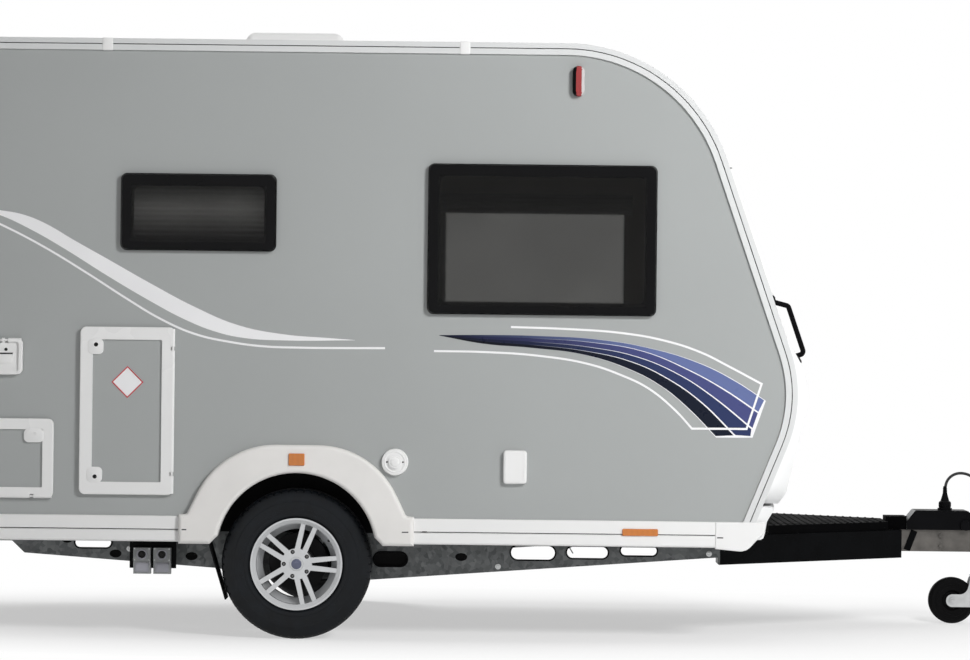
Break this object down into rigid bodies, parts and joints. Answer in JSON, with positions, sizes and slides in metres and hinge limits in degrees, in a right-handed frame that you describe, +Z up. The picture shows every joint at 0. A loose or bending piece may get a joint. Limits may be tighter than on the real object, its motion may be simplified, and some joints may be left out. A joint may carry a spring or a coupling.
{
  "type": "travel caravan",
  "caption": "Single-axle touring caravan with a hollow panelled body, acrylic windows, hinged hatches and door, A-frame drawbar, coupling head and jockey wheel.",
  "frame": {"origin": "on the ground under the middle of the bounding box", "axes": "+X points forward to the coupling, +Y to the caravan's left side, +Z up"},
  "size_m": [5.57, 2.154, 2.658],
  "materials": {
    "panel_grey": "satin",
    "white_moulding": "gloss",
    "white_panel": "gloss",
    "floor_ply": "matt",
    "dark_acrylic": "gloss",
    "black_plastic": "satin",
    "galvanised": "satin",
    "black_steel": "satin",
    "alloy": "satin",
    "tyre_rubber": "matt",
    "black_rubber": "matt",
    "amber": "gloss",
    "red_lens": "gloss",
    "grey_plastic": "satin",
    "cast_black": "matt",
    "zinc": "satin"
  },
  "bodies": {
    "body": {"side_wall_right": "panel_grey", "side_wall_left": "panel_grey", "front_wall": "white_panel", "rear_wall": "white_panel", "roof": "white_panel", "floor": "floor_ply", "edge_trims": "white_moulding", "side_skirts": "white_moulding", "wheel_arches": "white_moulding", "wheel_liners": "black_plastic", "front_moulding": "white_moulding", "end_sills": "white_moulding", "window_frames": "black_plastic", "window_panes": "dark_acrylic", "roof_light": "white_moulding", "hatch_flanges": "white_moulding", "locker_boxes": "black_plastic", "wall_vents": "white_moulding", "side_lamps": "amber", "rear_lamps": "red_lens", "grab_handles": "black_plastic", "chassis_rails": "galvanised", "cross_members": "galvanised", "drawbars": "black_steel", "drawbar_cover": "black_plastic", "overrun_housing": "black_steel", "top_cover": "black_plastic", "lead_plug": "black_rubber", "lead": "black_rubber", "coupling_shaft": "zinc", "coupling_gaiter": "black_rubber", "coupling_head": "black_steel", "brake_lever": "black_plastic", "brake_rod": "zinc", "axle_beam": "black_steel", "swing_arms": "black_steel", "mudflaps": "black_rubber", "outlet_boxes": "grey_plastic", "steady_brackets": "zinc", "jockey_sleeve": "zinc"},
    "wheel_left": {"tyre_left": "tyre_rubber", "rim_left": "alloy", "drum_left": "cast_black"},
    "wheel_right": {"tyre_right": "tyre_rubber", "rim_right": "alloy", "drum_right": "cast_black"},
    "jockey_stem": {"jockey_stem": "zinc"},
    "jockey_fork": {"jockey_fork": "zinc"},
    "jockey_wheel": {"jockey_wheel": "black_rubber"},
    "entry_door": {"entry_door": "white_moulding", "entry_door_pane": "dark_acrylic"},
    "gas_locker_door": {"gas_locker_door": "white_moulding"},
    "storage_hatch_door": {"storage_hatch_door": "white_moulding"},
    "inlet_lid": {"inlet_lid": "white_moulding"},
    "steady_front_right": {"steady_front_right": "zinc"},
    "steady_front_left": {"steady_front_left": "zinc"},
    "steady_rear_right": {"steady_rear_right": "zinc"},
    "steady_rear_left": {"steady_rear_left": "zinc"}
  },
  "joints": [
    {"name": "wheel_left_spin", "type": "hinge", "parent": "body", "child": "wheel_left", "pos_m": [-0.695, 0.928, 0.32], "axis": [0, 1, 0], "continuous": true},
    {"name": "wheel_right_spin", "type": "hinge", "parent": "body", "child": "wheel_right", "pos_m": [-0.695, -0.928, 0.32], "axis": [0, 1, 0], "continuous": true},
    {"name": "jockey_height", "type": "slide", "parent": "body", "child": "jockey_stem", "axis": [0, 0, 1], "range_m": [-0.1, 0.1]},
    {"name": "jockey_swivel", "type": "hinge", "parent": "jockey_stem", "child": "jockey_fork", "pos_m": [2.375, 0.112, 0.224], "axis": [0, 0, 1], "continuous": true},
    {"name": "jockey_spin", "type": "hinge", "parent": "jockey_fork", "child": "jockey_wheel", "pos_m": [2.26, 0.112, 0.106], "axis": [0, 1, 0], "continuous": true},
    {"name": "entry_door_hinge", "type": "hinge", "parent": "body", "child": "entry_door", "pos_m": [-2.003, 1.043, 1.396], "axis": [0, 0, 1], "range_deg": [0, 165]},
    {"name": "gas_locker_hinge", "type": "hinge", "parent": "body", "child": "gas_locker_door", "pos_m": [-1.227, -1.045, 0.966], "axis": [0, 0, 1], "range_deg": [0, 120]},
    {"name": "storage_hatch_hinge", "type": "hinge", "parent": "body", "child": "storage_hatch_door", "pos_m": [-1.967, -1.045, 0.6], "axis": [1, 0, 0], "range_deg": [0, 110]},
    {"name": "inlet_lid_hinge", "type": "hinge", "parent": "body", "child": "inlet_lid", "pos_m": [-1.947, -1.046, 1.26], "axis": [-1, 0, 0], "range_deg": [0, 110]},
    {"name": "steady_front_right_fold", "type": "hinge", "parent": "body", "child": "steady_front_right", "pos_m": [0.905, -0.64, 0.402], "axis": [0, -1, 0], "range_deg": [0, 58]},
    {"name": "steady_front_left_fold", "type": "hinge", "parent": "body", "child": "steady_front_left", "pos_m": [0.905, 0.64, 0.402], "axis": [0, -1, 0], "range_deg": [0, 58]},
    {"name": "steady_rear_right_fold", "type": "hinge", "parent": "body", "child": "steady_rear_right", "pos_m": [-2.335, -0.64, 0.402], "axis": [0, 1, 0], "range_deg": [0, 58]},
    {"name": "steady_rear_left_fold", "type": "hinge", "parent": "body", "child": "steady_rear_left", "pos_m": [-2.335, 0.64, 0.402], "axis": [0, 1, 0], "range_deg": [0, 58]}
  ]
}
